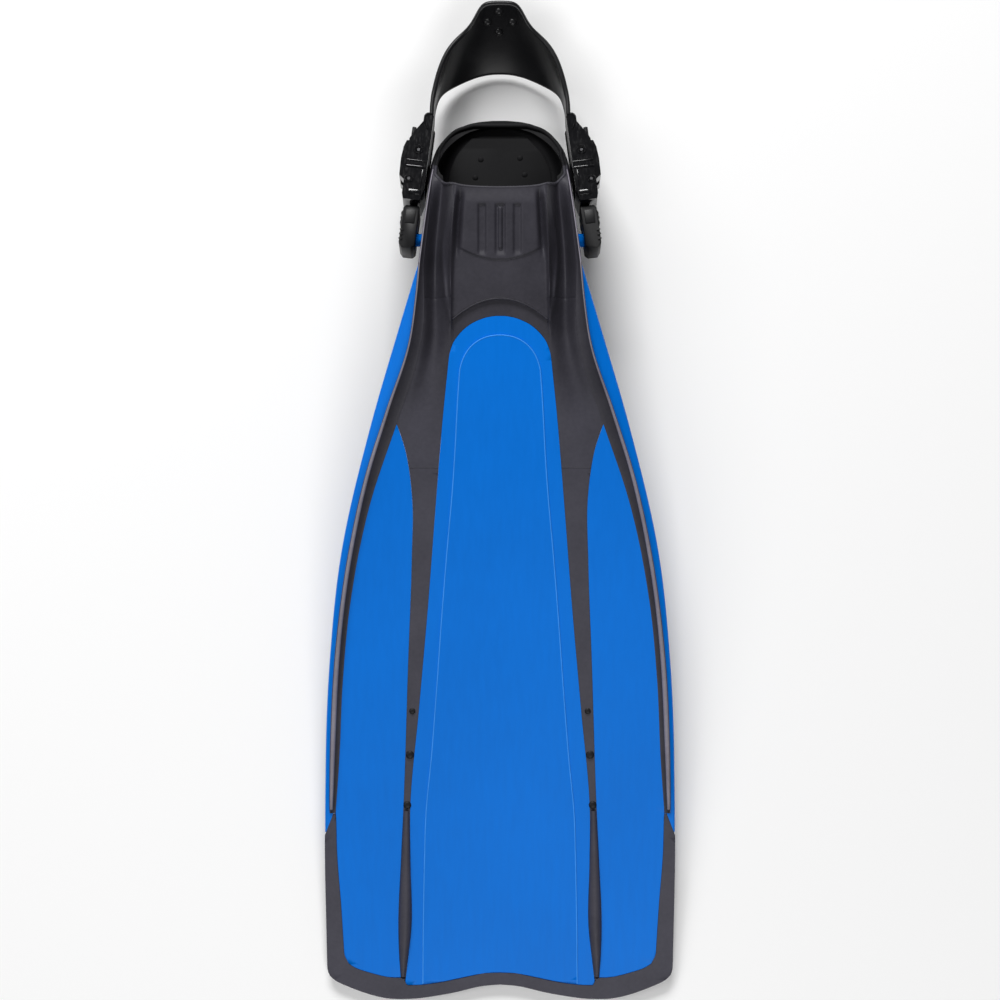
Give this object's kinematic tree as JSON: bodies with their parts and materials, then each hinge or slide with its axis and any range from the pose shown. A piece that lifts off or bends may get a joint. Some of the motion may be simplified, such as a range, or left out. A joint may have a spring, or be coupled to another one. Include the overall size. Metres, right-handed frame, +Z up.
{
  "type": "swim fin",
  "caption": "Open-heel swim fin with a rubber foot pocket, a three-panel blade with soft channels, and a heel strap on quick-release buckles.",
  "frame": {"origin": "middle of the fin's box at ground level", "axes": "+Z up, +Y from blade tip to heel, +X to the right seen from above with the heel at the top"},
  "size_m": [0.227, 0.6452, 0.0814],
  "materials": {
    "blade_blue": "satin moulded",
    "foot_pocket_rubber": "matt moulded",
    "edge_rubber": "matt moulded",
    "footbed_rubber": "matt, dimpled",
    "strap_rubber": "smooth, slightly glossy",
    "black_plastic": "glossy moulded",
    "grey_plastic": "satin moulded",
    "spring_steel": "drawn wire"
  },
  "bodies": {
    "fin": {"foot_pocket": "foot_pocket_rubber", "toe_cover": "foot_pocket_rubber", "footbed": "footbed_rubber", "centre_panel": "blade_blue", "tip_border": "edge_rubber", "left_side_panel": "blade_blue", "left_stringer": "edge_rubber", "left_rail": "edge_rubber", "left_keel": "edge_rubber", "left_anchor_post": "blade_blue", "right_side_panel": "blade_blue", "right_stringer": "edge_rubber", "right_rail": "edge_rubber", "right_keel": "edge_rubber", "right_anchor_post": "blade_blue"},
    "strap": {"heel_strap": "strap_rubber", "left_swivel_base": "grey_plastic", "left_button_spring": "spring_steel", "left_buckle_frame": "black_plastic", "left_roller_pin": "spring_steel", "left_lever_pin": "spring_steel", "left_lever_spring": "spring_steel", "right_swivel_base": "grey_plastic", "right_button_spring": "spring_steel", "right_buckle_frame": "black_plastic", "right_roller_pin": "spring_steel", "right_lever_pin": "spring_steel", "right_lever_spring": "spring_steel"},
    "left_lever": {"left_ratchet_lever": "black_plastic"},
    "right_lever": {"right_ratchet_lever": "black_plastic"},
    "left_button": {"left_release_button": "black_plastic"},
    "right_button": {"right_release_button": "black_plastic"},
    "left_roller": {"left_strap_roller": "black_plastic"},
    "right_roller": {"right_strap_roller": "black_plastic"}
  },
  "joints": [
    {"name": "strap_swing", "type": "hinge", "parent": "fin", "child": "strap", "pos_m": [0, 0.16824, 0.04494], "axis": [1, 0, 0], "range_deg": [-60, 65]},
    {"name": "left_lever_open", "type": "hinge", "parent": "strap", "child": "left_lever", "pos_m": [-0.05779, 0.20344, 0.03681], "axis": [0, 0.225, 0.9744], "range_deg": [0, 45], "stiffness_Nm_per_rad": 0.02, "springref_deg": -17.19, "deforming": ["left_lever_spring"]},
    {"name": "left_button_press", "type": "slide", "parent": "strap", "child": "left_button", "axis": [0.9925, -0.1187, 0.0274], "range_m": [0, 0.0012], "stiffness_N_per_m": 800, "springref_m": -0.0015, "deforming": ["left_button_spring"]},
    {"name": "left_roller_spin", "type": "hinge", "parent": "strap", "child": "left_roller", "pos_m": [-0.05168, 0.22234, 0.03245], "axis": [0, 0.225, 0.9744], "continuous": true},
    {"name": "right_lever_open", "type": "hinge", "parent": "strap", "child": "right_lever", "pos_m": [0.05779, 0.20344, 0.03681], "axis": [0, -0.225, -0.9744], "range_deg": [0, 45], "stiffness_Nm_per_rad": 0.02, "springref_deg": -17.19, "deforming": ["right_lever_spring"]},
    {"name": "right_button_press", "type": "slide", "parent": "strap", "child": "right_button", "axis": [-0.9925, -0.1187, 0.0274], "range_m": [0, 0.0012], "stiffness_N_per_m": 800, "springref_m": -0.0015, "deforming": ["right_button_spring"]},
    {"name": "right_roller_spin", "type": "hinge", "parent": "strap", "child": "right_roller", "pos_m": [0.05168, 0.22234, 0.03245], "axis": [0, 0.225, 0.9744], "continuous": true}
  ]
}
